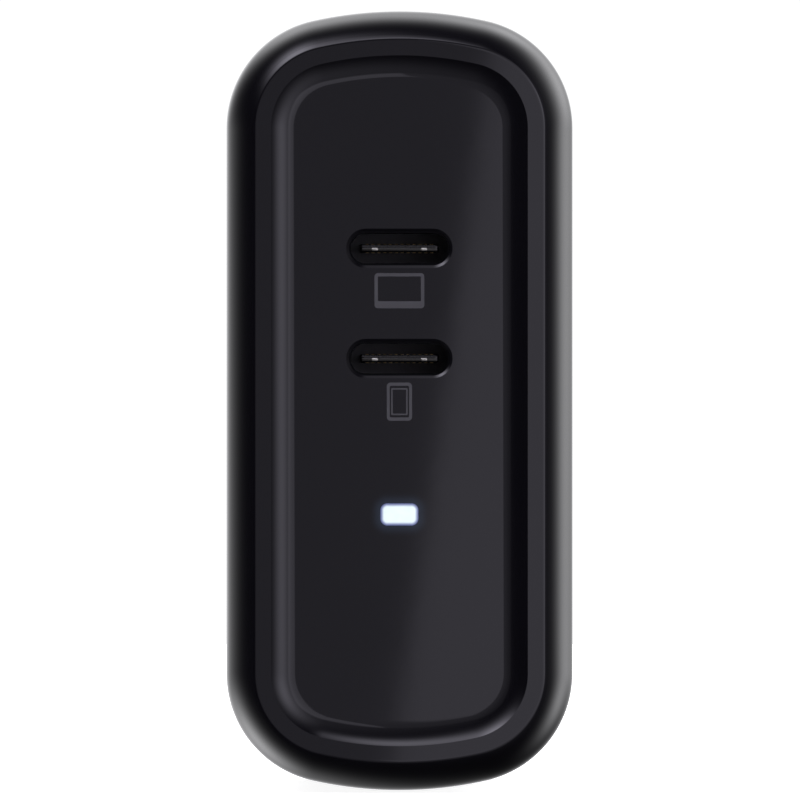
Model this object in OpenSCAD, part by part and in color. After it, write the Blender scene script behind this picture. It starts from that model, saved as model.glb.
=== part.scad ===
// Wall charger with two USB-C sockets and a fold-out two-blade plug. All sizes are in millimetres.
// +X is to the right, +Y points into the wall and +Z is up. The front is at -Y.
// The origin lies on the back face, midway between the blades where they leave the casing.

/* [Casing] */

// Width of the casing, between its two flat sides
body_w = 29.6; // [28.8:0.1:30.4]

// Height of the casing
body_h = 66.6; // [65:0.1:70]

// Depth of the casing, from the rim at the front to the back face
body_d = 60; // [59:0.5:64]

// Radius of the four corners of the outline
corner_r = 9.4; // [8.8:0.1:10]

// Radius of the gently curved top and bottom
end_r = 34; // [33:0.5:42]

// Thickness of the side walls
wall = 2.5; // [2.3:0.1:2.6]

// Radius of the long edge round the front
front_round = 4.2; // [3.8:0.1:4.4]

// Radius of the long edge round the back
back_round = 2; // [1:0.1:2.2]

/* [Front panel] */

// Distance from the outline to the edge of the front cover
cover_inset = 2.1; // [2:0.05:2.2]

// Distance from the outline to the outer edge of the flat ring
ring_outer = 2.45; // [2.3:0.05:2.8]

// Distance from the outline to the inner edge of the flat ring
ring_inset = 3.85; // [3.5:0.05:4.2]

// Depth of the panel below the ring
dish_depth = 0.45; // [0.4:0.05:0.8]

// Radius of the cove between the ring and the panel
cove_r = 4.2; // [3.8:0.1:4.4]

// Height of the upper socket above the middle of the casing
laptop_port_z = 13; // [12.6:0.1:13.6]

// Height of the lower socket above the middle of the casing
phone_port_z = 3.6; // [3.2:0.1:4]

// Height of the status light, measured from the middle of the casing
led_z = -9.7; // [-11:0.1:-8]

/* [Plug] */

// Length of the blades beyond the back face
blade_l = 17; // [15.9:0.1:18]

// Diameter of the hole near the tip of each blade
blade_hole_d = 3.2; // [3:0.1:3.6]

// Fold of the plug: 0 is open and 90 is folded into the back
prong_angle = 0; // [0:5:90]

/* [Hidden] */

// The node to draw, or all of them

$fn = 64;
eps = 0.01;

// Outline: straight sides, corner arcs and end arcs, each tangent to the next
body_z = -8;
corner_x = body_w/2 - corner_r;
end_z = body_h/2 - end_r;
corner_z = end_z + sqrt(pow(end_r - corner_r, 2) - pow(corner_x, 2));
reach_x = 2*corner_x;
reach_z = 2*(corner_z - end_z);

// Front: the casing's long edge runs on over the rim of the cover and ends at the flat ring
front_y = -body_d;
edge_slope = asin((front_round - ring_outer)/front_round);
edge_y = front_y + front_round*cos(edge_slope);
panel_y = front_y + dish_depth;
cover_back_y = front_y + 3;
cove_w = sqrt(pow(cove_r, 2) - pow(cove_r - dish_depth, 2));

// USB-C sockets: the shell, the tongue in it and the opening in the cover
port_w = 8.63;
port_h = 2.92;
port_bevel_w = 0.22;
port_bevel_d = 0.125;
port_lip = 0.5;
shell_w = 8.94;
shell_h = 3.16;
shell_t = 0.3;
tongue_w = 6.69;
tongue_t = 0.7;
contact_pitch = 0.5;
contacts_a_row = 12;

// Status light
led_w = 3.25;
led_h = 1.9;

// Board behind the front panel
usb_board_y = front_y + 10;
usb_board_t = 1.2;
usb_board_w = 22.8;
usb_board_low = -20;
usb_board_high = 21;
post_x = 9;
post_z = [-17, 18.4];

// Main board, which stands along one flat side
board_t = 1.2;
board_x = -10.4;
board_face = board_x + board_t;
board_front_y = usb_board_y + usb_board_t + 1.2;
board_back_y = -11;
board_low = -33;
board_high = 17;
mid_y = front_y + 23.2;

// Plug: two blades in a barrel that turns about X, close behind the back face
axis_y = -3.8;
blade_x = 6.35;
blade_w = 6.35;
blade_t = 1.5;
blade_root_r = 4.5;
barrel_r = 4.4;
barrel_flat = 3.6;
barrel_half = 9.3;
cam_half = 3;
trunnion_r = 1.4;
trunnion_end = 11;
bearing_gap = 0.05;
pocket_half = 4.9;
pocket_side = 9.6;
frame_side = 11.2;
frame_high = 6.7;
frame_low = -27.2;
frame_back_y = -9.9;
frame_round = 2.6;
frame_gap = 0.1;
flange = 0.8;
back_t = 2.2;
slot_low = -21.5;
slot_half = 1.15;
slot_floor_y = -7.4;
spring_t = 0.3;
spring_w = 1.8;
contact_y = axis_y - blade_root_r - 0.1;
detent_y = axis_y - barrel_flat - 0.05;

// ---------- Shapes used by several pieces ----------

// The sector of the outline whose edge is the end arc
module end_sector() {
  polygon([[0, end_z], [reach_x, end_z + reach_z], [-reach_x, end_z + reach_z]]);
}

// The sector of the outline whose edge is the right corner arc
module corner_sector() {
  far_x = corner_x + 20;
  polygon([
    [corner_x, corner_z], [far_x, corner_z],
    [far_x, corner_z + reach_z], [corner_x + reach_x, corner_z + reach_z]
  ]);
}

// The outline of the casing, moved inwards
module outline(inset) {
  square([body_w - 2*inset, 2*corner_z], center = true);
  for (turn = [0, 180])
    rotate(turn) {
      intersection() {
        translate([0, end_z]) circle(end_r - inset);
        end_sector();
      }
      for (flip = [0, 1])
        mirror([flip, 0])
          intersection() {
            translate([corner_x, corner_z]) circle(corner_r - inset);
            corner_sector();
          }
    }
}

// A shape drawn in X and Z, made solid between two depths
module across(y0, y1) {
  translate([0, y1, 0]) rotate([90, 0, 0]) linear_extrude(y1 - y0) children();
}

// A section drawn as inset and depth, turned about an arc of the given radius
module turned(radius) {
  rotate([90, 0, 0]) rotate_extrude() translate([radius, 0]) mirror([0, 1]) mirror([1, 0]) children();
}

// A section drawn as inset and depth, carried once round the outline
module around() {
  for (turn = [0, 180])
    rotate([0, turn, 0]) {
      translate([0, 0, -corner_z])
        linear_extrude(2*corner_z) translate([body_w/2, 0]) mirror([1, 0]) children();
      intersection() {
        translate([0, 0, end_z]) turned(end_r) children();
        across(-100, 100) end_sector();
      }
      for (flip = [0, 1])
        mirror([flip, 0, 0])
          intersection() {
            translate([corner_x, 0, corner_z]) turned(corner_r) children();
            across(-100, 100) corner_sector();
          }
    }
}

// A slot outline with round ends, centred in X and Z
module stadium(w, h) {
  square([w - h, h], center = true);
  for (side = [-1, 1])
    translate([side*(w - h)/2, 0]) circle(d = h);
}

// A rectangle with round corners, centred in X and Z
module round_rect(w, h, r) {
  square([w - 2*r, h], center = true);
  square([w, h - 2*r], center = true);
  for (x = [-1, 1], z = [-1, 1])
    translate([x*(w/2 - r), z*(h/2 - r)]) circle(r);
}

// A box between two corners
module block(low, high) {
  translate(low) cube(high - low);
}

// A rod along X between two positions, at a depth and height
module rod_x(x0, x1, y, z, r) {
  translate([x0, y, z]) rotate([0, 90, 0]) cylinder(h = x1 - x0, r = r);
}

// Puts a piece made about the middle of the casing in its place
module at_body(z = 0) {
  translate([0, 0, body_z + z]) children();
}

// Puts a piece on the main board: its X runs along Y, its Y up, and its Z away from the board
module on_board(y, z) {
  translate([board_face, y, z]) rotate([90, 0, 90]) children();
}

// Puts a piece on the back of the main board, where there is little room
module under_board(y, z) {
  translate([board_x, y, z]) rotate([90, 0, -90]) children();
}

// ---------- Casing ----------

// Section of the side wall with its two long round edges
module wall_section() {
  difference() {
    union() {
      translate([front_round, edge_y]) circle(front_round);
      translate([0, edge_y]) square([wall, -back_round - edge_y]);
      translate([back_round, -back_round]) circle(back_round);
      translate([back_round, -back_round]) square([wall - back_round, back_round]);
    }
    translate([wall, front_y - 1]) square([front_round*2, body_d + 2]);
    translate([cover_inset, front_y - 1]) square([front_round*2, cover_back_y - front_y + 1]);
  }
}

// Ribs that hold the two ends of the main board, one on each end wall
module board_rails() {
  difference() {
    intersection() {
      at_body() across(mid_y - 8, mid_y + 20) outline(wall - 0.2);
      union() {
        block([board_x - 1.4, -60, board_high - 1.2], [board_face + 1.2, 0, 30]);
        block([board_x - 1.4, -60, -46], [board_face + 1.2, 0, board_low + 0.4]);
      }
    }
    block([board_x, -60, board_low], [board_face, 0, board_high]);
  }
}

module main_housing() {
  color([0.03, 0.03, 0.035])
    difference() {
      union() {
        at_body() around() wall_section();
        at_body() across(-back_t, 0) outline(wall - 0.2);
        board_rails();
      }
      across(-back_t - 1, 1) frame_outline(frame_gap);
    }
}

// The opening for one socket, with its shallow bevel
module port_opening() {
  rise = port_bevel_d + eps;
  spread = port_bevel_w*rise/port_bevel_d;
  across(panel_y - 1, cover_back_y + 1) stadium(port_w, port_h);
  translate([0, panel_y - eps, 0]) rotate([-90, 0, 0]) {
    for (side = [-1, 1])
      translate([side*(port_w - port_h)/2, 0, 0])
        cylinder(h = rise, r1 = port_h/2 + spread, r2 = port_h/2);
    rotate([90, 0, 90])
      linear_extrude(port_w - port_h, center = true)
        polygon([
          [-port_h/2 - spread, 0], [port_h/2 + spread, 0], [port_h/2, rise], [-port_h/2, rise]
        ]);
  }
  across(panel_y + port_lip, cover_back_y + 1) stadium(shell_w + 0.1, shell_h + 0.1);
}

// Section of what is taken off the outside of the cover, so that it runs on from the casing's edge
module rim_section() {
  difference() {
    translate([cover_inset - 0.5, front_y - 0.5]) square([ring_outer - cover_inset + 0.6, 1.2]);
    translate([front_round, edge_y]) circle(front_round);
  }
}

// Section of what is taken out for the cove and the edge of the panel
module cove_section() {
  foot = ring_inset + cove_w;
  intersection() {
    translate([foot, panel_y - cove_r]) circle(cove_r);
    translate([ring_inset - 1, front_y - 0.3]) square([cove_w + 1, dish_depth + 0.3]);
  }
  translate([foot, front_y - 0.3]) square([0.6, dish_depth + 0.3]);
}

module front_cover() {
  color([0.05, 0.05, 0.055])
    at_body() {
      difference() {
        across(front_y, cover_back_y) outline(cover_inset);
        around() rim_section();
        around() cove_section();
        across(front_y - 1, panel_y) outline(ring_inset + cove_w + 0.3);
        for (z = [laptop_port_z, phone_port_z])
          translate([0, 0, z]) port_opening();
        translate([0, 0, led_z])
          across(front_y, cover_back_y + 1) round_rect(led_w, led_h, 0.6);
      }
      for (x = [-post_x, post_x], z = post_z)
        translate([x, 0, z]) {
          across(cover_back_y - 0.5, usb_board_y) circle(1.7);
          across(cover_back_y - 0.5, usb_board_y + usb_board_t + 0.6) circle(0.8);
        }
    }
}

module light_pipe() {
  color([0.8, 0.9, 1])
    at_body(led_z) {
      across(panel_y, usb_board_y - 1.2) round_rect(led_w, led_h, 0.6);
      across(cover_back_y, cover_back_y + 0.8) round_rect(led_w + 1.4, led_h + 1.4, 0.6);
    }
}

// ---------- Plug ----------

// The recess for the barrel, the slots for the folded blades and the notch for a fingertip
module frame_recess() {
  block([-pocket_side, axis_y - pocket_half, -pocket_half], [pocket_side, 1, pocket_half]);
  for (x = [-blade_x, blade_x]) {
    block([x - slot_half, slot_floor_y, slot_low], [x + slot_half, 1, 0]);
    block([x - 1.1, frame_back_y - 1, -2.2], [x + 1.1, axis_y, 2.5]);
  }
  rod_x(-8.4, 8.4, 2.2, slot_low, 5);
}

// The outline of the plug frame, made larger by a margin
module frame_outline(margin) {
  translate([0, (frame_high + frame_low)/2])
    round_rect(2*frame_side + 2*margin, frame_high - frame_low + 2*margin, frame_round + margin);
}

module plug_frame() {
  color([0.06, 0.06, 0.065])
    difference() {
      union() {
        across(frame_back_y, 0) frame_outline(0);
        across(-back_t - 1.2, -back_t) frame_outline(flange);
      }
      frame_recess();
      rod_x(-frame_side - 1, frame_side + 1, axis_y, 0, trunnion_r + bearing_gap);
      for (side = [-1, 1])
        translate([side*(frame_side + pocket_side)/2, 0, 0])
          block([-2, frame_back_y - 1, -1.5], [2, axis_y, 1.5]);
      block([-cam_half, detent_y - spring_t, -6], [cam_half, detent_y, 6]);
    }
}

// Caps that close the two bearings from inside the casing
module bearing_caps() {
  color([0.2, 0.2, 0.22])
    for (side = [-1, 1])
      translate([side*(frame_side + pocket_side)/2, 0, 0])
        difference() {
          block([-0.8, frame_back_y, -1.5], [0.8, axis_y, 1.5]);
          rod_x(-1, 1, axis_y, 0, trunnion_r + bearing_gap);
        }
}

// Places a piece of the plug: it turns about the barrel's axis
module folding() {
  translate([0, axis_y, 0]) rotate([-prong_angle, 0, 0]) children();
}

// One blade, about the barrel's axis: a bevelled tip, a hole, and a root that reaches the contact
module blade(x) {
  tip = blade_l - axis_y;
  half = blade_w/2;
  translate([x, 0, 0])
    difference() {
      intersection() {
        rotate([90, 0, 90])
          linear_extrude(blade_t, center = true) {
            polygon([[0.8, -half], [tip - 1.3, -half], [tip, -half + 1.3],
              [tip, half - 1.3], [tip - 1.3, half], [0.8, half]]);
            intersection() {
              circle(blade_root_r);
              translate([-5, -1.2]) square([6.5, 2.4]);
            }
          }
        linear_extrude(2*blade_w, center = true)
          polygon([[-blade_t/2, -10], [blade_t/2, -10], [blade_t/2, tip - 1.8], [0.35, tip],
            [-0.35, tip], [-blade_t/2, tip - 1.8]]);
      }
      rod_x(-2, 2, 11.9 - axis_y, 0, blade_hole_d/2);
    }
}

module blade_left() {
  color([0.75, 0.74, 0.7]) folding() blade(-blade_x);
}

module blade_right() {
  color([0.75, 0.74, 0.7]) folding() blade(blade_x);
}

module prong_carrier() {
  color([0.07, 0.07, 0.075])
    folding() {
      difference() {
        intersection() {
          rod_x(-barrel_half, barrel_half, 0, 0, barrel_r);
          block([-20, -10, -10], [20, barrel_flat, barrel_flat]);
        }
        block([-cam_half, -10, -10], [cam_half, -barrel_flat, 10]);
        block([-cam_half, -10, -10], [cam_half, 10, -barrel_flat]);
        blade(-blade_x);
        blade(blade_x);
      }
      for (side = [-1, 1])
        rod_x(side > 0 ? barrel_half - 0.5 : -trunnion_end,
          side > 0 ? trunnion_end : 0.5 - barrel_half, 0, 0, trunnion_r);
    }
}

// A leaf behind the root of one blade, with a tail that leaves the frame
module contact_spring(x) {
  color([0.8, 0.55, 0.3])
    translate([x, 0, 0]) {
      block([-spring_w/2, contact_y - spring_t, -2], [spring_w/2, contact_y, 2.5]);
      block([-spring_w/2, -14, 2.5 - spring_t], [spring_w/2, contact_y, 2.5]);
    }
}

module contact_spring_left() {
  contact_spring(-blade_x);
}

module contact_spring_right() {
  contact_spring(blade_x);
}

// The leaf that snaps the barrel's cam into its two positions
module detent_spring() {
  color([0.7, 0.7, 0.72])
    block([-2.4, detent_y - spring_t, -6], [2.4, detent_y, 6]);
}

// The wires from the contacts to the main board
module ac_lead_left() {
  color([0.1, 0.1, 0.1])
    translate([-blade_x, -13.2, 0]) {
      cylinder(h = 2.5 - spring_t, r = 0.6);
      sphere(0.6);
      rod_x(board_face + blade_x, 0, 0, 0, 0.6);
    }
}

module ac_lead_right() {
  color([0.85, 0.85, 0.85])
    translate([blade_x, -13.2, 4.8]) {
      translate([0, 0, -2.3]) cylinder(h = 2.3, r = 0.6);
      sphere(0.6);
      rod_x(board_face - blade_x, 0, 0, 0, 0.6);
    }
}

// ---------- Sockets and their board ----------

module port_shell(z) {
  color([0.6, 0.6, 0.62])
    at_body(z)
      difference() {
        across(panel_y + port_lip, usb_board_y) stadium(shell_w, shell_h);
        across(panel_y, usb_board_y - 1.5) stadium(shell_w - 2*shell_t, shell_h - 2*shell_t);
        across(panel_y, usb_board_y + 1) stadium(shell_w - 2*shell_t, shell_h - 2*shell_t);
      }
}

// Both rows of contacts of one socket, pressed into the faces of its tongue
module port_contacts(z) {
  color([0.9, 0.75, 0.4])
    at_body(z)
      for (i = [0 : contacts_a_row - 1], side = [-1, 1])
        translate([(i - (contacts_a_row - 1)/2)*contact_pitch, 0, side*(tongue_t/2 - 0.05)])
          block([-0.13, panel_y + port_lip + 1.1, -0.07], [0.13, usb_board_y - 2.2, 0.07]);
}

module port_tongue(z) {
  color([0.05, 0.05, 0.05])
    difference() {
      at_body(z) {
        across(panel_y + port_lip + 0.6, usb_board_y)
          square([tongue_w, tongue_t], center = true);
        across(usb_board_y - 2, usb_board_y)
          stadium(shell_w - 2*shell_t, shell_h - 2*shell_t);
      }
      port_contacts(z);
    }
}

module laptop_port_shell() {
  port_shell(laptop_port_z);
}

module laptop_port_tongue() {
  port_tongue(laptop_port_z);
}

module laptop_port_contacts() {
  port_contacts(laptop_port_z);
}

module phone_port_shell() {
  port_shell(phone_port_z);
}

module phone_port_tongue() {
  port_tongue(phone_port_z);
}

module phone_port_contacts() {
  port_contacts(phone_port_z);
}

// The row of pins between the two boards
module pins() {
  for (i = [0 : 7])
    translate([board_face + 1.3, 0, body_z - 11 + 2*i])
      block([-0.3, usb_board_y - 0.6, -0.3], [0.3, board_front_y + 0.6, 0.3]);
}

module header_pins() {
  color([0.85, 0.7, 0.3]) pins();
}

module board_header() {
  color([0.1, 0.1, 0.1])
    difference() {
      block(
        [board_face, usb_board_y + usb_board_t, body_z - 12.5],
        [board_face + 2.6, board_front_y + 1, body_z + 4.5]
      );
      pins();
    }
}

module usb_board() {
  color([0.05, 0.3, 0.15])
    difference() {
      at_body()
        block([-usb_board_w/2, usb_board_y, usb_board_low],
          [usb_board_w/2, usb_board_y + usb_board_t, usb_board_high]);
      for (x = [-post_x, post_x], z = post_z)
        at_body(z) translate([x, 0, 0]) across(usb_board_y - 1, usb_board_y + 2) circle(0.8);
      pins();
    }
}

module status_led() {
  color([0.9, 0.95, 1])
    at_body(led_z) across(usb_board_y - 1, usb_board_y) square([2.8, 1.6], center = true);
}

// A flat chip lying in X and Y, with a row of short legs along two sides
module chip(l, w, h, legs) {
  block([-l/2, -w/2, 0.1], [l/2, w/2, h]);
  for (i = [0 : legs - 1])
    translate([(i - (legs - 1)/2)*l/legs, 0, 0])
      block([-0.2, -w/2 - 0.6, 0], [0.2, w/2 + 0.6, 0.25]);
}

module pd_controller() {
  color([0.08, 0.08, 0.08])
    translate([3, usb_board_y + usb_board_t, body_z - 2]) rotate([-90, 0, 0]) chip(5, 5, 0.9, 6);
}

// ---------- Main board and its components ----------

module main_board() {
  color([0.05, 0.3, 0.15])
    block([board_x, board_front_y, board_low], [board_face, board_back_y, board_high]);
}

module fuse() {
  color([0.15, 0.15, 0.15]) on_board(-20, 13.75) block([-4.25, -1.9, 0], [4.25, 1.9, 8]);
}

// A disc that stands on its two leads
module disc_component(r, t) {
  translate([0, t/2, r + 1]) rotate([90, 0, 0]) cylinder(h = t, r = r);
  for (x = [-r/2, r/2])
    translate([x, 0, 0]) cylinder(h = 2, r = 0.3);
}

module varistor() {
  color([0.1, 0.25, 0.6]) on_board(-32.6, 12.4) disc_component(4, 3.4);
}

module y_capacitor() {
  color([0.1, 0.4, 0.75]) on_board(-32, -1.2) disc_component(3.4, 3);
}

module x_capacitor() {
  color([0.85, 0.75, 0.2]) on_board(-21.8, 9.2) block([-6.5, -2.4, 0], [6.5, 2.4, 11]);
}

// The section of the ring choke's core, taken about its axis
module choke_section(margin) {
  translate([2.6 - margin, -2.5 - margin]) square([2.5 + 2*margin, 5 + 2*margin]);
}

module choke_core() {
  color([0.15, 0.3, 0.2])
    on_board(-22, 3.2) translate([0, 0, 6]) rotate([90, 0, 0]) rotate_extrude() choke_section(0);
}

module choke_windings() {
  color([0.75, 0.35, 0.15])
    on_board(-22, 3.2)
      translate([0, 0, 6])
        rotate([90, 0, 0])
          for (turn = [35, 215])
            difference() {
              rotate(turn) rotate_extrude(angle = 110) choke_section(0.9);
              rotate_extrude() choke_section(0);
            }
}

module bridge_rectifier() {
  color([0.08, 0.08, 0.08])
    on_board(-32.5, 4.9) {
      block([-5, -1.7, 1.5], [5, 1.7, 10]);
      for (i = [0 : 3])
        translate([-3.75 + 2.5*i, 0, 0]) block([-0.35, -0.25, 0], [0.35, 0.25, 2]);
    }
}

// A capacitor can that stands on its base, with a crimp near the base
module can(r, h) {
  rotate_extrude()
    polygon([
      [0, 0], [r - 0.3, 0], [r, 0.3], [r, 1.5], [r - 0.4, 1.9], [r - 0.4, 2.1], [r, 2.5],
      [r, h - 0.4], [r - 0.4, h], [r - 0.8, h], [r - 1, h - 0.2], [0, h - 0.2]
    ]);
}

module bulk_capacitors() {
  color([0.12, 0.12, 0.14])
    for (i = [0 : 2])
      on_board(-21, -26.9 + 10.2*i) can(5, 18);
}

module output_capacitors() {
  color([0.7, 0.7, 0.72])
    for (z = [3.4, 11.6])
      on_board(mid_y - 5.4, z) can(4, 11);
}

module transformer_core() {
  color([0.2, 0.2, 0.2])
    on_board(mid_y, -15) {
      for (side = [-1, 1]) {
        translate([0, side*8.25, 8.5]) cube([19, 3.5, 17], center = true);
        translate([side*8, 0, 8.5]) cube([3, 20, 17], center = true);
      }
      translate([0, 9, 8.5]) rotate([90, 0, 0]) cylinder(h = 18, r = 3.6);
    }
}

module transformer_bobbin() {
  color([0.05, 0.05, 0.05])
    on_board(mid_y, -15)
      translate([0, 0, 8.5])
        difference() {
          union() {
            rotate([90, 0, 0]) cylinder(h = 13, r = 4.4, center = true);
            for (side = [-1, 1])
              translate([0, side*6.1, 0]) cube([12.6, 0.8, 14], center = true);
          }
          rotate([90, 0, 0]) cylinder(h = 20, r = 3.6, center = true);
        }
}

module transformer_winding() {
  color([0.85, 0.7, 0.15])
    on_board(mid_y, -15)
      translate([0, 0, 8.5])
        rotate([90, 0, 0])
          difference() {
            cylinder(h = 11.4, r = 6.2, center = true);
            cylinder(h = 12, r = 4.4, center = true);
          }
}

module optocoupler() {
  color([0.9, 0.9, 0.88]) on_board(mid_y - 5, -2.9) chip(6.6, 3, 2.2, 2);
}

module output_inductors() {
  color([0.3, 0.3, 0.32])
    for (y = [mid_y - 5.6, mid_y + 3])
      on_board(y, -28.5) block([-3.5, -3.4, 0], [3.5, 3.4, 5]);
}

module primary_switch() {
  color([0.08, 0.08, 0.08]) under_board(mid_y + 9, -6) chip(6, 5, 0.9, 4);
}

module primary_controller() {
  color([0.08, 0.08, 0.08]) under_board(mid_y + 8, 5) chip(5, 4, 1.1, 5);
}

module sync_rectifier() {
  color([0.08, 0.08, 0.08]) under_board(mid_y - 4, 3) chip(6, 5, 0.9, 4);
}

module thermal_pad() {
  color([0.55, 0.6, 0.75]) on_board(mid_y, -15) block([-8, -8.5, 17], [8, 8.5, 19]);
}

// A bent plate over the components, which spreads their heat
module heat_spreader() {
  color([0.8, 0.8, 0.82])
    on_board(mid_y, 0) {
      block([-9, -32.6, 19], [19, 13, 19.8]);
      block([-9, -32.6, 0], [19, -32, 19.8]);
    }
}

module insulating_sheet() {
  color([0.9, 0.9, 0.8])
    block([-body_w/2 + wall, mid_y - 10, -30], [-body_w/2 + wall + 0.25, mid_y + 24, 14]);
}

main_housing();
front_cover();
light_pipe();
plug_frame();
bearing_caps();
prong_carrier();
blade_left();
blade_right();
contact_spring_left();
contact_spring_right();
detent_spring();
ac_lead_left();
ac_lead_right();
usb_board();
laptop_port_shell();
laptop_port_tongue();
laptop_port_contacts();
phone_port_shell();
phone_port_tongue();
phone_port_contacts();
status_led();
pd_controller();
board_header();
header_pins();
main_board();
fuse();
varistor();
x_capacitor();
choke_core();
choke_windings();
bridge_rectifier();
bulk_capacitors();
transformer_core();
transformer_bobbin();
transformer_winding();
y_capacitor();
optocoupler();
output_capacitors();
output_inductors();
primary_switch();
primary_controller();
sync_rectifier();
thermal_pad();
heat_spreader();
insulating_sheet();
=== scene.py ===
import math

import bmesh
import bpy
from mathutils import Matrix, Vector


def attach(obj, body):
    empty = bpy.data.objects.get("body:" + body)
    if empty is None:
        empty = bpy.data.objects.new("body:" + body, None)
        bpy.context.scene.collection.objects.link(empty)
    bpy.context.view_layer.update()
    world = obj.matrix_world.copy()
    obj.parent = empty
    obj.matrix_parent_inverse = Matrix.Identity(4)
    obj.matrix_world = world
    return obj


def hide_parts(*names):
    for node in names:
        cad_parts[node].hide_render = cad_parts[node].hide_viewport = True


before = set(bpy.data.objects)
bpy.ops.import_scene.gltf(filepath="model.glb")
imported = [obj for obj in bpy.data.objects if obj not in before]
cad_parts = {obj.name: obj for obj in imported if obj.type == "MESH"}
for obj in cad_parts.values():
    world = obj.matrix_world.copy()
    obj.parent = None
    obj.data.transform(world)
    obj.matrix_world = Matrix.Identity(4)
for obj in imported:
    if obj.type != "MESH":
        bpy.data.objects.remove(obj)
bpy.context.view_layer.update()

MM = 0.001

# ---------- Sizes, in millimetres, the same as the CAD model's ----------

BODY_Z = -8.0
HALF_W = 14.8
HALF_H = 33.3
DEPTH = 60.0
CORNER_R = 9.4
END_R = 34.0
WALL = 2.5
FRONT_ROUND = 4.2
BACK_ROUND = 2.0
COVER_INSET = 2.1
COVER_BACK = -57.0
RING_OUTER = 2.45
RING_INSET = 3.85
DISH = 0.45
COVE_R = 4.2
FRONT = -DEPTH
EDGE_SLOPE = math.asin((FRONT_ROUND - RING_OUTER) / FRONT_ROUND)
EDGE_Y = FRONT + FRONT_ROUND * math.cos(EDGE_SLOPE)
PANEL = FRONT + DISH
LAPTOP_PORT_Z = 13.0
PHONE_PORT_Z = 3.6
LED_Z = -9.7
PORT_W, PORT_H, PORT_LIP = 8.63, 2.92, 0.5
PORT_BEVEL_W, PORT_BEVEL_D = 0.22, 0.125
SHELL_W, SHELL_H, SHELL_T = 8.94, 3.16, 0.3
TONGUE_W, TONGUE_T = 6.69, 0.7
TONGUE_NOSE = PANEL + PORT_LIP + 0.6
TAB_X = 2.1
USB_BOARD = -50.0
LED_W, LED_H, LED_ROUND = 3.25, 1.9, 0.6
PIPE_COLLAR, PIPE_COLLAR_T = 0.7, 0.8
PIPE_BACK = FRONT + 8.8
FRAME_SIDE, FRAME_HIGH, FRAME_LOW, FRAME_ROUND, FRAME_GAP = 11.2, 6.7, -27.2, 2.6, 0.1
BACK_T = 2.2

CORNER_X = HALF_W - CORNER_R
END_Z = HALF_H - END_R
CORNER_Z = END_Z + math.sqrt((END_R - CORNER_R) ** 2 - CORNER_X**2)
CORNER_A = math.atan2(CORNER_Z - END_Z, CORNER_X)


# ---------- Outlines ----------


def quarter(inset):
    """The upper right quarter of the outline, from the right side to the top, moved inwards."""
    points = []
    side = HALF_W - inset
    for z in (0.0, CORNER_Z * 0.5, CORNER_Z - 1.2, CORNER_Z - 0.3):
        points.append((side, z))
    r = CORNER_R - inset
    for i in range(29):
        a = CORNER_A * i / 28
        points.append((CORNER_X + r * math.cos(a), CORNER_Z + r * math.sin(a)))
    r = END_R - inset
    span = math.pi / 2 - CORNER_A
    for i in range(1, 11):
        a = CORNER_A + span * i / 10
        points.append((r * math.cos(a), END_Z + r * math.sin(a)))
    return points


def outline(inset):
    """The whole outline, anticlockwise from the right side as seen from the front."""
    q = quarter(inset)
    upper = q + [(-x, z) for x, z in reversed(q[:-1])]
    lower = [(-x, -z) for x, z in upper[1:-1]]
    return [(x, z + BODY_Z) for x, z in upper + lower]


def rounded(w, h, r, z=0.0, steps=10):
    """A rectangle with round corners; with r of half its height it is a slot with round ends."""
    points = []
    for sx, sz, start in ((1, 1, 0), (-1, 1, 90), (-1, -1, 180), (1, -1, 270)):
        for i in range(steps + 1):
            a = math.radians(start + 90 * i / steps)
            points.append((sx * (w / 2 - r) + r * math.cos(a), z + sz * (h / 2 - r) + r * math.sin(a)))
    return points


# ---------- Mesh building ----------


def add_ring(bm, points, y):
    return [bm.verts.new((x * MM, y * MM, z * MM)) for x, z in points]


def join_rings(bm, first, second):
    n = len(first)
    for i in range(n):
        j = (i + 1) % n
        bm.faces.new((first[i], first[j], second[j], second[i]))


def loft(bm, rings):
    """Joins each ring to the next. A ring is (points, depth)."""
    made = [add_ring(bm, points, y) for points, y in rings]
    for first, second in zip(made, made[1:]):
        join_rings(bm, first, second)
    return made


def fill(bm, rings):
    """Fills the flat face inside the first ring and outside the others."""
    edges = []
    for ring in rings:
        for i, vert in enumerate(ring):
            other = ring[(i + 1) % len(ring)]
            edges.append(bm.edges.get((vert, other)) or bm.edges.new((vert, other)))
    bmesh.ops.triangle_fill(bm, use_beauty=True, use_dissolve=False, edges=edges)


def make_object(name, bm, material, sharp=28):
    bmesh.ops.remove_doubles(bm, verts=bm.verts, dist=1e-7)
    bmesh.ops.recalc_face_normals(bm, faces=bm.faces)
    mesh = bpy.data.meshes.new(name)
    bm.to_mesh(mesh)
    bm.free()
    mesh.shade_smooth()
    mesh.set_sharp_from_angle(angle=math.radians(sharp))
    mesh.materials.append(material)
    obj = bpy.data.objects.new(name, mesh)
    bpy.context.scene.collection.objects.link(obj)
    return obj


# ---------- Material building ----------


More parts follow.
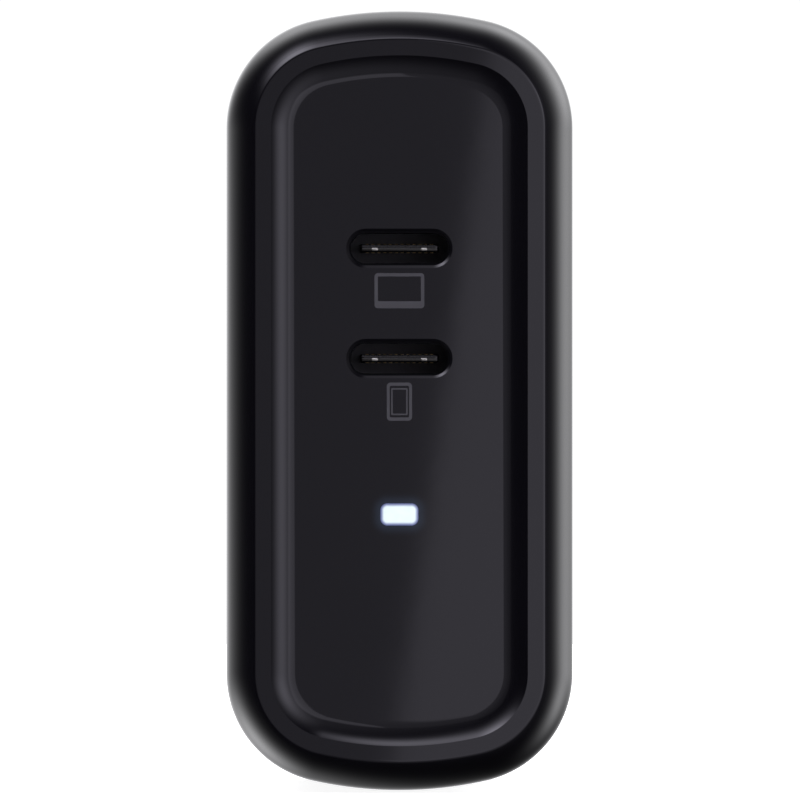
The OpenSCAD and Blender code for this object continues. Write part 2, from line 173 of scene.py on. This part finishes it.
class Nodes:
    """A short way to build a node tree: each call adds one node, and links or sets its inputs."""

    def __init__(self, tree):
        self.tree = tree

    def add(self, kind, inputs=None, **settings):
        node = self.tree.nodes.new(kind)
        for key, value in settings.items():
            setattr(node, key, value)
        for key, value in (inputs or {}).items():
            socket = node.inputs[key]
            if isinstance(value, bpy.types.NodeSocket):
                self.tree.links.new(value, socket)
            else:
                socket.default_value = value
        return node

    def math(self, operation, a, b=0.0, c=0.0, clamp=False):
        node = self.add("ShaderNodeMath", {0: a, 1: b, 2: c}, operation=operation, use_clamp=clamp)
        return node.outputs[0]

    def smooth(self, value, low, high, to_low=0.0, to_high=1.0):
        node = self.add(
            "ShaderNodeMapRange",
            {"Value": value, "From Min": low, "From Max": high, "To Min": to_low, "To Max": to_high},
            interpolation_type="SMOOTHSTEP",
        )
        return node.outputs["Result"]

    def noise(self, vector, scale, detail=2.0, rough=0.5):
        node = self.add(
            "ShaderNodeTexNoise",
            {"Vector": vector, "Scale": scale, "Detail": detail, "Roughness": rough},
        )
        return node.outputs["Fac"]

    def mix(self, factor, a, b):
        node = self.add("ShaderNodeMix", data_type="RGBA")
        for index, value in ((0, factor), (6, a), (7, b)):
            socket = node.inputs[index]
            if isinstance(value, bpy.types.NodeSocket):
                self.tree.links.new(value, socket)
            else:
                socket.default_value = value
        return node.outputs[2]

    def bump(self, height, strength, distance, edge=0.0):
        """Fine relief; with edge it also softens the look of sharp edges by that radius."""
        node = self.add("ShaderNodeBump", {"Height": height, "Strength": strength, "Distance": distance})
        if edge:
            soft = self.add("ShaderNodeBevel", {"Radius": edge}, samples=6)
            self.tree.links.new(soft.outputs["Normal"], node.inputs["Normal"])
        return node.outputs["Normal"]


def new_material(name):
    material = bpy.data.materials.new(name)
    material.use_nodes = True
    tree = material.node_tree
    tree.nodes.clear()
    nodes = Nodes(tree)
    shader = nodes.add("ShaderNodeBsdfPrincipled")
    output = nodes.add("ShaderNodeOutputMaterial")
    tree.links.new(shader.outputs[0], output.inputs[0])
    place = nodes.add("ShaderNodeTexCoord").outputs["Object"]
    return material, nodes, shader, place


def surface(
    name, color, rough=0.4, metal=0.0, vary=0.15, grain=2500.0, grain_depth=0.00001, spread=0.06,
    coat=0.0, stretch=(1.0, 1.0, 1.0), edge=0.0
):
    """A moulded or metal surface: fine grain, uneven roughness and a slight variation of colour."""
    material, nodes, shader, place = new_material(name)
    scaled = nodes.add("ShaderNodeMapping", {"Vector": place, "Scale": stretch}).outputs[0]
    cloud = nodes.noise(place, 180.0, 3.0)
    fine = nodes.noise(scaled, grain, 3.0, 0.6)
    dark = tuple(c * (1 - vary) for c in color) + (1.0,)
    light = tuple(min(1.0, c * (1 + vary)) for c in color) + (1.0,)
    shader.inputs["Metallic"].default_value = metal
    nodes.tree.links.new(nodes.mix(cloud, dark, light), shader.inputs["Base Color"])
    uneven = nodes.math("ADD", nodes.math("MULTIPLY", fine, 0.6), nodes.math("MULTIPLY", cloud, 0.4))
    nodes.tree.links.new(
        nodes.smooth(uneven, 0.3, 0.7, max(0.02, rough - spread), rough + spread), shader.inputs["Roughness"]
    )
    nodes.tree.links.new(nodes.bump(fine, 0.4, grain_depth, edge), shader.inputs["Normal"])
    shader.inputs["Coat Weight"].default_value = coat
    return material


def gloss_black(name, rough, waviness, painted_glow_at=None):
    """Polished black plastic: an even mirror with faint moulding waves and hairline unevenness."""
    material, nodes, shader, place = new_material(name)
    cloud = nodes.noise(place, 90.0, 2.0)
    speck = nodes.noise(place, 5200.0, 2.0, 0.7)
    base = nodes.mix(cloud, (0.0048, 0.0043, 0.0066, 1.0), (0.0062, 0.0056, 0.0084, 1.0))
    nodes.tree.links.new(base, shader.inputs["Base Color"])
    uneven = nodes.math("ADD", nodes.math("MULTIPLY", cloud, 0.7), nodes.math("MULTIPLY", speck, 0.3))
    nodes.tree.links.new(
        nodes.smooth(uneven, 0.3, 0.7, rough * 0.85, rough * 1.2), shader.inputs["Roughness"]
    )
    wave = nodes.noise(place, 420.0, 1.0)
    height = nodes.math("ADD", wave, nodes.math("MULTIPLY", speck, 0.04))
    nodes.tree.links.new(nodes.bump(height, 1.0, waviness), shader.inputs["Normal"])
    shader.inputs["IOR"].default_value = 1.5
    # With a centre given, the panel also gets a painted glow: emission round the status light, standing in
    # for light from it.
    if painted_glow_at is not None:
        painted_glow(nodes, shader, place, painted_glow_at)
    return material


def slot_distance(nodes, place, centre, half_w, half_h, r):
    """Distance from a rounded rectangle in X and Z, negative inside it, in metres."""
    split = nodes.add("ShaderNodeSeparateXYZ", {0: place})
    x = nodes.math("ABSOLUTE", nodes.math("SUBTRACT", split.outputs[0], centre[0]))
    z = nodes.math("ABSOLUTE", nodes.math("SUBTRACT", split.outputs[2], centre[2]))
    x = nodes.math("SUBTRACT", x, half_w - r)
    z = nodes.math("SUBTRACT", z, half_h - r)
    out_x = nodes.math("MAXIMUM", x, 0.0)
    out_z = nodes.math("MAXIMUM", z, 0.0)
    square = nodes.math("ADD", nodes.math("MULTIPLY", out_x, out_x), nodes.math("MULTIPLY", out_z, out_z))
    inner = nodes.math("MINIMUM", nodes.math("MAXIMUM", x, z), 0.0)
    return nodes.math("SUBTRACT", nodes.math("ADD", nodes.math("SQRT", square), inner), r)


def painted_glow(nodes, shader, place, centre):
    """Painted glow: emission on the panel plastic round the status light, standing in for the light that
    leaks into it.
    """
    away = slot_distance(nodes, place, centre, LED_W / 2 * MM, LED_H / 2 * MM, LED_ROUND * MM)
    near = nodes.smooth(away, 0.0, 1.2 * MM, 1.0, 0.0)
    strength = nodes.math("MULTIPLY", nodes.math("POWER", near, 2.0), 0.035)
    shader.inputs["Emission Color"].default_value = (0.28, 0.43, 0.72, 1.0)
    nodes.tree.links.new(strength, shader.inputs["Emission Strength"])


def status_light(name, centre):
    """A lit window: white in the middle and blue at its rim."""
    material, nodes, shader, place = new_material(name)
    inside = slot_distance(nodes, place, centre, LED_W / 2 * MM, LED_H / 2 * MM, LED_ROUND * MM)
    core = nodes.smooth(inside, -0.34 * MM, 0.0, 1.0, 0.0)
    color = nodes.mix(core, (0.33, 0.40, 0.92, 1.0), (0.86, 0.985, 1.0, 1.0))
    grain = nodes.noise(place, 1800.0, 2.0)
    power = nodes.math("MULTIPLY_ADD", core, 0.71, 0.25)
    power = nodes.math("MULTIPLY", power, nodes.smooth(grain, 0.2, 0.8, 0.97, 1.03))
    nodes.tree.links.new(color, shader.inputs["Emission Color"])
    nodes.tree.links.new(power, shader.inputs["Emission Strength"])
    milky = nodes.mix(grain, (0.10, 0.11, 0.13, 1.0), (0.14, 0.15, 0.17, 1.0))
    nodes.tree.links.new(milky, shader.inputs["Base Color"])
    nodes.tree.links.new(nodes.smooth(grain, 0.2, 0.8, 0.12, 0.22), shader.inputs["Roughness"])
    return material


led_centre = (0.0, PANEL * MM, (BODY_Z + LED_Z) * MM)

casing_black = gloss_black("casing_black", 0.07, 0.0000005)
# The panel carries a painted glow round the status light.
panel_black = gloss_black("panel_black", 0.018, 0.0000001, led_centre)
plug_black = surface(
    "plug_black", (0.012, 0.012, 0.014), 0.42, grain=5200.0, grain_depth=0.000012, edge=0.00025
)
barrel_black = surface(
    "barrel_black", (0.014, 0.014, 0.016), 0.36, grain=5200.0, grain_depth=0.00001, edge=0.00025
)
blade_metal = surface(
    "blade_metal", (0.27, 0.262, 0.245), 0.34, 0.85, 0.04, 3200.0, 0.000002, 0.05, stretch=(1.0, 0.06, 1.0),
    edge=0.00012
)
port_steel = surface("port_steel", (0.008, 0.008, 0.009), 0.38, 1.0, 0.1, 2600.0, 0.000004)
plate_steel = surface("plate_steel", (0.62, 0.61, 0.55), 0.3, 1.0, 0.08, 3600.0, 0.000002)
plate_dark = surface("plate_dark", (0.06, 0.06, 0.055), 0.35, 1.0, 0.1, 3600.0, 0.000002)
tongue_black = surface("tongue_black", (0.002, 0.002, 0.002), 0.26, grain=4000.0, grain_depth=0.000004)
block_black = surface("block_black", (0.14, 0.14, 0.145), 0.6, grain=4000.0, grain_depth=0.000006)
contact_gold = surface("contact_gold", (0.42, 0.31, 0.15), 0.42, 1.0, 0.08, 4000.0, 0.000002)
print_grey = surface("print_grey", (0.105, 0.105, 0.112), 0.5, grain=9000.0, grain_depth=0.000003)
inner_black = surface("inner_black", (0.02, 0.02, 0.02), 0.5)
spring_bronze = surface("spring_bronze", (0.62, 0.36, 0.2), 0.28, 1.0, stretch=(1.0, 1.0, 0.1))
spring_steel = surface("spring_steel", (0.5, 0.5, 0.52), 0.26, 1.0, stretch=(0.1, 1.0, 1.0))
lead_black = surface("lead_black", (0.012, 0.012, 0.012), 0.5)
lead_white = surface("lead_white", (0.75, 0.74, 0.7), 0.5)
board_green = surface("board_green", (0.01, 0.09, 0.035), 0.3, vary=0.3, grain=900.0, coat=0.4)
chip_black = surface("chip_black", (0.016, 0.016, 0.016), 0.55)
chip_white = surface("chip_white", (0.68, 0.67, 0.62), 0.5)
blue_coating = surface("blue_coating", (0.02, 0.08, 0.35), 0.2, grain=700.0, grain_depth=0.00003, coat=0.5)
yellow_case = surface("yellow_case", (0.62, 0.42, 0.04), 0.4)
ferrite = surface("ferrite", (0.035, 0.035, 0.038), 0.6, vary=0.3, grain=3500.0, grain_depth=0.00003)
copper = surface(
    "copper", (0.6, 0.2, 0.06), 0.25, 1.0, grain=1400.0, grain_depth=0.00004, stretch=(1.0, 1.0, 0.2)
)
sleeve = surface("sleeve", (0.02, 0.02, 0.028), 0.25, vary=0.2, grain=500.0, grain_depth=0.00002)
yellow_tape = surface("yellow_tape", (0.65, 0.45, 0.03), 0.3, grain=600.0, grain_depth=0.00003)
can_metal = surface(
    "can_metal", (0.7, 0.7, 0.72), 0.3, 1.0, 0.08, 1500.0, 0.000006, stretch=(0.1, 1.0, 1.0)
)
pad_blue = surface("pad_blue", (0.2, 0.25, 0.4), 0.7, grain=900.0, grain_depth=0.00003)
sheet_metal = surface(
    "sheet_metal", (0.68, 0.68, 0.7), 0.32, 1.0, 0.08, 1500.0, 0.000006, stretch=(1.0, 0.1, 1.0)
)
sheet_paper = surface("sheet_paper", (0.75, 0.7, 0.5), 0.5)
led_body = surface("led_body", (0.85, 0.85, 0.8), 0.3)

CAD_MATERIALS = {
    "plug_frame": plug_black,
    "bearing_caps": inner_black,
    "prong_carrier": barrel_black,
    "blade_left": blade_metal,
    "blade_right": blade_metal,
    "contact_spring_left": spring_bronze,
    "contact_spring_right": spring_bronze,
    "detent_spring": spring_steel,
    "ac_lead_left": lead_black,
    "ac_lead_right": lead_white,
    "usb_board": board_green,
    "laptop_port_shell": port_steel,
    "laptop_port_contacts": contact_gold,
    "phone_port_shell": port_steel,
    "phone_port_contacts": contact_gold,
    "status_led": led_body,
    "pd_controller": chip_black,
    "board_header": inner_black,
    "header_pins": contact_gold,
    "main_board": board_green,
    "fuse": chip_black,
    "varistor": blue_coating,
    "x_capacitor": yellow_case,
    "choke_core": ferrite,
    "choke_windings": copper,
    "bridge_rectifier": chip_black,
    "bulk_capacitors": sleeve,
    "transformer_core": ferrite,
    "transformer_bobbin": inner_black,
    "transformer_winding": yellow_tape,
    "y_capacitor": blue_coating,
    "optocoupler": chip_white,
    "output_capacitors": can_metal,
    "output_inductors": ferrite,
    "primary_switch": chip_black,
    "primary_controller": chip_black,
    "sync_rectifier": chip_black,
    "thermal_pad": pad_blue,
    "heat_spreader": sheet_metal,
    "insulating_sheet": sheet_paper,
}
for node_name, material in CAD_MATERIALS.items():
    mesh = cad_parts[node_name].data
    mesh.materials.clear()
    mesh.materials.append(material)


def soften_edges(node_name, radius):
    """Rounds the sharp edges of a CAD node by a radius in millimetres."""
    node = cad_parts[node_name]
    weld = node.modifiers.new("weld", "WELD")
    weld.merge_threshold = 0.001 * MM
    soft = node.modifiers.new("soft_edges", "BEVEL")
    soft.width = radius * MM
    soft.segments = 2
    soft.limit_method = "ANGLE"
    soft.angle_limit = math.radians(40)
    soft.harden_normals = True


soften_edges("blade_left", 0.08)
soften_edges("blade_right", 0.08)


# ---------- Casing ----------


def front_edge(first, last, steps):
    """Rings of the long round front edge, between two distances from the outline."""
    start = math.acos(1 - first / FRONT_ROUND)
    end = math.acos(1 - last / FRONT_ROUND)
    rings = []
    for i in range(steps + 1):
        a = start + (end - start) * i / steps
        rings.append((outline(FRONT_ROUND * (1 - math.cos(a))), EDGE_Y - FRONT_ROUND * math.sin(a)))
    return rings


def casing_shell():
    """The outer casing: lip, long front edge, sides, long back edge, back face and the inside."""
    bm = bmesh.new()
    rings = [
        (outline(WALL), COVER_BACK),
        (outline(COVER_INSET), COVER_BACK),
    ]
    rings += front_edge(COVER_INSET, 0, 24)
    rings.append((outline(0), EDGE_Y + 0.3))
    rings.append((outline(0), -BACK_ROUND - 0.3))
    for i in range(13):
        a = math.pi / 2 * i / 12
        rings.append((outline(BACK_ROUND * (1 - math.cos(a))), -BACK_ROUND * (1 - math.sin(a))))
    rings.append((outline(BACK_ROUND + 0.3), 0.0))
    made = loft(bm, rings)
    opening = rounded(
        2 * (FRAME_SIDE + FRAME_GAP), FRAME_HIGH - FRAME_LOW + 2 * FRAME_GAP, FRAME_ROUND + FRAME_GAP,
        (FRAME_HIGH + FRAME_LOW) / 2
    )
    bevel = 0.15
    wide = rounded(
        2 * (FRAME_SIDE + FRAME_GAP + bevel), FRAME_HIGH - FRAME_LOW + 2 * (FRAME_GAP + bevel),
        FRAME_ROUND + FRAME_GAP + bevel, (FRAME_HIGH + FRAME_LOW) / 2
    )
    mouth = loft(bm, [(wide, 0.0), (opening, -bevel), (opening, -BACK_T)])
    fill(bm, [made[-1], mouth[0]])
    inside = loft(bm, [(outline(WALL), -BACK_T), (outline(WALL), COVER_BACK)])
    fill(bm, [inside[0], mouth[-1]])
    return make_object("casing_shell", bm, casing_black)


def slot(w, h, z):
    """A slot with round ends, at a height above the middle of the casing."""
    return rounded(w, h, h / 2 - 1e-4, BODY_Z + z, 12)


def port_hole(bm, z):
    """The shallow bevel and the wall of one socket's opening; returns its first and last rings."""
    rings = []
    for out, depth in ((1.2, 0.0), (1.0, 0.0), (0.95, 0.05), (0.06, 0.94), (0.0, 1.0), (0.0, 1.15)):
        wider = 2 * PORT_BEVEL_W * out
        rings.append((slot(PORT_W + wider, PORT_H + wider, z), PANEL + PORT_BEVEL_D * depth))
    rings += [
        (slot(PORT_W, PORT_H, z), PANEL + PORT_LIP),
        (slot(SHELL_W + 0.1, SHELL_H + 0.1, z), PANEL + PORT_LIP),
        (slot(SHELL_W + 0.1, SHELL_H + 0.1, z), COVER_BACK),
    ]
    made = loft(bm, rings)
    return made[0], made[-1]


def front_panel():
    """The front cover: rounded rim, flat ring, cove and recessed panel with its openings."""
    bm = bmesh.new()
    # The crisp edge between the round rim and the ring is eased by an arc that meets both smoothly.
    rim_start = RING_OUTER - 0.1
    slope = math.asin((FRONT_ROUND - rim_start) / FRONT_ROUND)
    rim_r = FRONT_ROUND * (math.cos(EDGE_SLOPE) - math.cos(slope)) / (1 - math.cos(slope))
    rim_end = rim_start + rim_r * math.sin(slope)
    rings = [(outline(COVER_INSET), COVER_BACK)]
    rings += front_edge(COVER_INSET, rim_start, 4)
    for i in range(1, 9):
        a = slope * (1 - i / 8)
        rings.append((outline(rim_end - rim_r * math.sin(a)), FRONT + rim_r * (1 - math.cos(a))))
    rings.append((outline(rim_end + 0.1), FRONT))
    rings.append((outline(RING_INSET - 0.1), FRONT))
    rings.append((outline(RING_INSET), FRONT))
    start = math.acos(1 - DISH / COVE_R)
    foot = RING_INSET + COVE_R * math.sin(start)
    for i in range(21):
        a = start * (1 - i / 20)
        rings.append((outline(foot - COVE_R * math.sin(a)), PANEL - COVE_R * (1 - math.cos(a))))
    rings.append((outline(foot + 0.3), PANEL))
    made = loft(bm, rings)
    holes = [port_hole(bm, LAPTOP_PORT_Z), port_hole(bm, PHONE_PORT_Z)]
    window = rounded(LED_W, LED_H, LED_ROUND, BODY_Z + LED_Z)
    margin = rounded(LED_W + 0.1, LED_H + 0.1, LED_ROUND + 0.05, BODY_Z + LED_Z)
    led = loft(bm, [(margin, PANEL), (window, PANEL), (window, COVER_BACK)])
    holes.append((led[0], led[-1]))
    fill(bm, [made[-1]] + [first for first, last in holes])
    fill(bm, [made[0]] + [last for first, last in holes])
    return make_object("front_panel", bm, panel_black, sharp=22)


def status_window():
    """The lit end of the light pipe, slightly crowned, with its collar behind the panel."""
    bm = bmesh.new()
    z = BODY_Z + LED_Z
    collar_w = LED_W + 2 * PIPE_COLLAR
    collar_h = LED_H + 2 * PIPE_COLLAR
    rings = [
        (rounded(LED_W - 0.9, LED_H - 0.9, 0.2, z), PANEL - 0.03),
        (rounded(LED_W - 0.4, LED_H - 0.4, LED_ROUND - 0.2, z), PANEL - 0.02),
        (rounded(LED_W - 0.06, LED_H - 0.06, LED_ROUND - 0.03, z), PANEL + 0.01),
        (rounded(LED_W - 0.02, LED_H - 0.02, LED_ROUND - 0.01, z), PANEL + 0.05),
        (rounded(LED_W - 0.02, LED_H - 0.02, LED_ROUND - 0.01, z), COVER_BACK),
        (rounded(collar_w, collar_h, LED_ROUND, z), COVER_BACK),
        (rounded(collar_w, collar_h, LED_ROUND, z), COVER_BACK + PIPE_COLLAR_T),
        (rounded(LED_W, LED_H, LED_ROUND, z), COVER_BACK + PIPE_COLLAR_T),
        (rounded(LED_W, LED_H, LED_ROUND, z), PIPE_BACK),
    ]
    made = loft(bm, rings)
    fill(bm, [made[0]])
    fill(bm, [made[-1]])
    return make_object("status_window", bm, status_light("status_light", led_centre))


# ---------- Tongues of the sockets ----------


def socket_tongue(name, port_z):
    """The tongue in one socket, with a rounded nose, and the block behind it that fills the shell."""
    bm = bmesh.new()
    z = BODY_Z + port_z
    r = 0.22
    rings = []
    for i in range(5):
        a = math.pi / 2 * i / 4
        cut = 2 * r * (1 - math.sin(a))
        rings.append((rounded(TONGUE_W - cut, TONGUE_T - cut, 0.14, z), TONGUE_NOSE + r * (1 - math.cos(a))))
    block_front = USB_BOARD - 2
    block_w, block_h = SHELL_W - 2 * SHELL_T, SHELL_H - 2 * SHELL_T
    rings += [
        (rounded(TONGUE_W, TONGUE_T, 0.14, z), block_front),
        (rounded(block_w, block_h, block_h / 2 - 1e-4, z), block_front),
        (rounded(block_w, block_h, block_h / 2 - 1e-4, z), USB_BOARD),
    ]
    made = loft(bm, rings)
    fill(bm, [made[0]])
    fill(bm, [made[-1]])
    for face in bm.faces:
        if face.calc_center_median().y > (block_front - 0.01) * MM:
            face.material_index = 1
    tongue = make_object(name, bm, tongue_black)
    tongue.data.materials.append(block_black)
    return tongue


def plate_edge(name, port_z):
    """The edge of the steel plate inside the tongue, a fine dark line along its nose."""
    bm = bmesh.new()
    z = BODY_Z + port_z - 0.1
    line = loft(bm, [
        (rounded(6.38, 0.16, 0.05, z, 2), TONGUE_NOSE - 0.015),
        (rounded(6.42, 0.20, 0.07, z, 2), TONGUE_NOSE - 0.005),
        (rounded(6.42, 0.20, 0.07, z, 2), TONGUE_NOSE + 0.06),
    ])
    fill(bm, [line[0]])
    fill(bm, [line[-1]])
    return make_object(name, bm, plate_dark, 60)


def plate_tabs(name, port_z):
    """The two bright tabs of that plate."""
    bm = bmesh.new()
    z = BODY_Z + port_z - 0.08
    for x in (-TAB_X, TAB_X):
        rings = []
        for w, h, r, y in (
            (0.36, 0.08, 0.03, -0.05),
            (0.5, 0.18, 0.08, -0.035),
            (0.6, 0.3, 0.13, 0.0),
            (0.6, 0.3, 0.13, 0.06),
        ):
            rings.append(([(x + px, pz) for px, pz in rounded(w, h, r, z, 4)], TONGUE_NOSE + y))
        tab = loft(bm, rings)
        fill(bm, [tab[0]])
        fill(bm, [tab[-1]])
    return make_object(name, bm, plate_steel, 60)


# ---------- Printed signs ----------

INK = 0.012


def print_shape(bm, outer, inner):
    """A thin raised frame on the panel."""
    made = loft(bm, [(outer, PANEL + 0.004), (outer, PANEL - INK)])
    hole = loft(bm, [(inner, PANEL - INK), (inner, PANEL + 0.004)])
    fill(bm, [made[-1], hole[0]])
    fill(bm, [made[0], hole[-1]])


def laptop_sign():
    """A screen drawn in outline, on a heavier bar."""
    bm = bmesh.new()
    z = BODY_Z + 9.38
    print_shape(
        bm,
        rounded(4.25, 3.0, 0.28, z, 4),
        rounded(3.67, 2.12, 0.08, z + 0.16, 4),
    )
    return make_object("print_laptop", bm, print_grey)


def phone_sign():
    """A tall case drawn in outline round a smaller screen."""
    bm = bmesh.new()
    z = BODY_Z - 0.08
    print_shape(
        bm,
        rounded(2.15, 3.25, 0.3, z, 4),
        rounded(1.65, 2.7, 0.12, z, 4),
    )
    print_shape(
        bm,
        rounded(1.4, 2.3, 0.1, z, 4),
        rounded(1.15, 2.05, 0.04, z, 4),
    )
    return make_object("print_phone", bm, print_grey)


shell = casing_shell()
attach(shell, "casing")
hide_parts("main_housing")

panel = front_panel()
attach(panel, "casing")
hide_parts("front_cover")

window = status_window()
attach(window, "casing")
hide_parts("light_pipe")

for socket, port_z in (("laptop_port", LAPTOP_PORT_Z), ("phone_port", PHONE_PORT_Z)):
    tongue = socket_tongue(socket + "_nose", port_z)
    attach(tongue, "casing")
    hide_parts(socket + "_tongue")
    for plate in (plate_edge(socket + "_plate_edge", port_z), plate_tabs(socket + "_plate_tabs", port_z)):
        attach(plate, "casing")

for sign in (laptop_sign(), phone_sign()):
    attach(sign, "casing")


# ---------- Light ----------


def lights(nodes, direction, soft_lights, total):
    """The sum of a list of soft lights, added to a first value."""
    for towards, sharpness, strength in soft_lights:
        unit = tuple(Vector(towards).normalized())
        dot = nodes.add("ShaderNodeVectorMath", {0: direction, 1: unit}, operation="DOT_PRODUCT")
        power = nodes.math("MULTIPLY", nodes.math("SUBTRACT", dot.outputs["Value"], 1.0), sharpness)
        total = nodes.math("MULTIPLY_ADD", nodes.math("EXPONENT", power), strength, total)
    return total


# Soft lights far away: direction, how narrow and how strong. The front of the object faces -Y.
SIDE_LIGHTS = (
    ((0.86, 0.40, 0.36), 8.5, 3.85),  # large box on the right
    ((0.95, 0.18, -0.30), 18.0, 2.75),  # its brighter lower half
    ((0.33, 0.47, 0.82), 17.0, 3.0),  # overhead
    ((-0.34, 0.50, 0.79), 15.5, 2.4),  # overhead, on the left
    ((-0.70, 0.40, -0.60), 10.5, 3.9),  # low on the left
    ((-0.21, 0.96, 0.17), 5.5, 1.6),  # behind the object
)
FRONT_LIGHTS = (
    ((-0.40, -0.58, 0.71), 28.0, 5.0),  # above the camera, on the left
    ((0.02, -0.69, 0.72), 90.0, 2.1),  # narrow, above the camera
    ((0.46, -0.88, 0.16), 25.0, 1.7),  # close to the camera, on the right
    ((0.32, -0.91, -0.26), 14.5, 0.62),  # below the camera, on the right
)
SIDE_COLOR = (0.98, 0.98, 1.0, 1.0)
FRONT_COLOR = (0.89, 0.86, 1.0, 1.0)


# The card round the camera: its two strengths, its slanting edge and how it fades at its outer edges.
CARD_DIM, CARD_BRIGHT = 0.1, 0.64
CARD_EDGE_START, CARD_EDGE_END = 0.0018, 0.0031
CARD_SLANT, CARD_SLANT_REACH = 0.14, 0.03
CARD_WIDE_START, CARD_WIDE_END = 0.15, 0.24
CARD_TALL_START, CARD_TALL_END = 0.12, 0.19


def camera_card(nodes, x, y, z):
    """A card round the camera, brighter to the right of an edge that slants near the camera."""
    near = nodes.math("MINIMUM", nodes.math("MAXIMUM", z, -CARD_SLANT_REACH), CARD_SLANT_REACH)
    slope = nodes.math("SUBTRACT", x, nodes.math("MULTIPLY", near, CARD_SLANT))
    side = nodes.smooth(slope, CARD_EDGE_START, CARD_EDGE_END, CARD_DIM, CARD_BRIGHT)
    wide = nodes.smooth(nodes.math("ABSOLUTE", x), CARD_WIDE_START, CARD_WIDE_END, 1.0, 0.0)
    tall = nodes.smooth(nodes.math("ABSOLUTE", z), CARD_TALL_START, CARD_TALL_END, 1.0, 0.0)
    ahead = nodes.math("LESS_THAN", y, 0.0)
    return nodes.math("MULTIPLY", nodes.math("MULTIPLY", wide, tall), nodes.math("MULTIPLY", ahead, side))


def studio_world():
    """A white sweep for the camera, and soft boxes on a dim surround for everything else."""
    world = bpy.data.worlds.new("studio")
    world.use_nodes = True
    bpy.context.scene.world = world
    tree = world.node_tree
    tree.nodes.clear()
    nodes = Nodes(tree)
    direction = nodes.add("ShaderNodeTexCoord").outputs["Generated"]
    split = nodes.add("ShaderNodeSeparateXYZ", {0: direction})
    side = lights(nodes, direction, SIDE_LIGHTS, 0.02)
    front = lights(nodes, direction, FRONT_LIGHTS, camera_card(nodes, *split.outputs))
    side = nodes.add("ShaderNodeBackground", {"Color": SIDE_COLOR, "Strength": side})
    front = nodes.add("ShaderNodeBackground", {"Color": FRONT_COLOR, "Strength": front})
    studio = nodes.add("ShaderNodeAddShader", {0: side.outputs[0], 1: front.outputs[0]})
    sweep = nodes.add("ShaderNodeBackground", {"Color": (1.0, 1.0, 1.0, 1.0), "Strength": 1.05})
    seen = nodes.add("ShaderNodeLightPath").outputs["Is Camera Ray"]
    mixed = nodes.add("ShaderNodeMixShader", {0: seen, 1: studio.outputs[0], 2: sweep.outputs[0]})
    output = nodes.add("ShaderNodeOutputWorld")
    tree.links.new(mixed.outputs[0], output.inputs[0])


def pale_floor():
    """A pale floor just under the object, bright enough to melt into the sweep."""
    bm = bmesh.new()
    low = (BODY_Z - HALF_H) * MM - 0.0002
    bmesh.ops.create_circle(bm, cap_ends=True, segments=96, radius=0.9)
    bmesh.ops.translate(bm, verts=bm.verts, vec=(0.0, -0.03, low))
    material, nodes, shader, place = new_material("floor_white")
    cloud = nodes.noise(place, 6.0, 3.0)
    nodes.tree.links.new(
        nodes.mix(cloud, (0.86, 0.86, 0.86, 1.0), (0.9, 0.9, 0.9, 1.0)), shader.inputs["Base Color"]
    )
    shader.inputs["Roughness"].default_value = 0.8
    shader.inputs["Specular IOR Level"].default_value = 0.0
    shader.inputs["Emission Color"].default_value = (1.0, 1.0, 1.0, 1.0)
    shader.inputs["Emission Strength"].default_value = 0.9
    floor = make_object("floor", bm, material)
    floor.visible_glossy = False
    floor.visible_diffuse = False


VIEW_W = 68.376  # width of the view at the object's widest section, in millimetres


def studio_camera():
    """A long lens straight in front of the panel."""
    data = bpy.data.cameras.new("camera")
    data.lens = 800.0
    data.sensor_width = 36.0
    data.clip_start = 0.01
    data.clip_end = 10.0
    camera = bpy.data.objects.new("camera", data)
    bpy.context.scene.collection.objects.link(camera)
    distance = data.lens / data.sensor_width * VIEW_W
    camera.location = (0.05 * MM, (EDGE_Y - distance) * MM, (BODY_Z + 0.06) * MM)
    camera.rotation_euler = (math.pi / 2, 0.0, 0.0)
    bpy.context.scene.camera = camera


studio_world()
pale_floor()
studio_camera()
bpy.context.scene.view_settings.view_transform = "Standard"
bpy.context.scene.view_settings.look = "None"
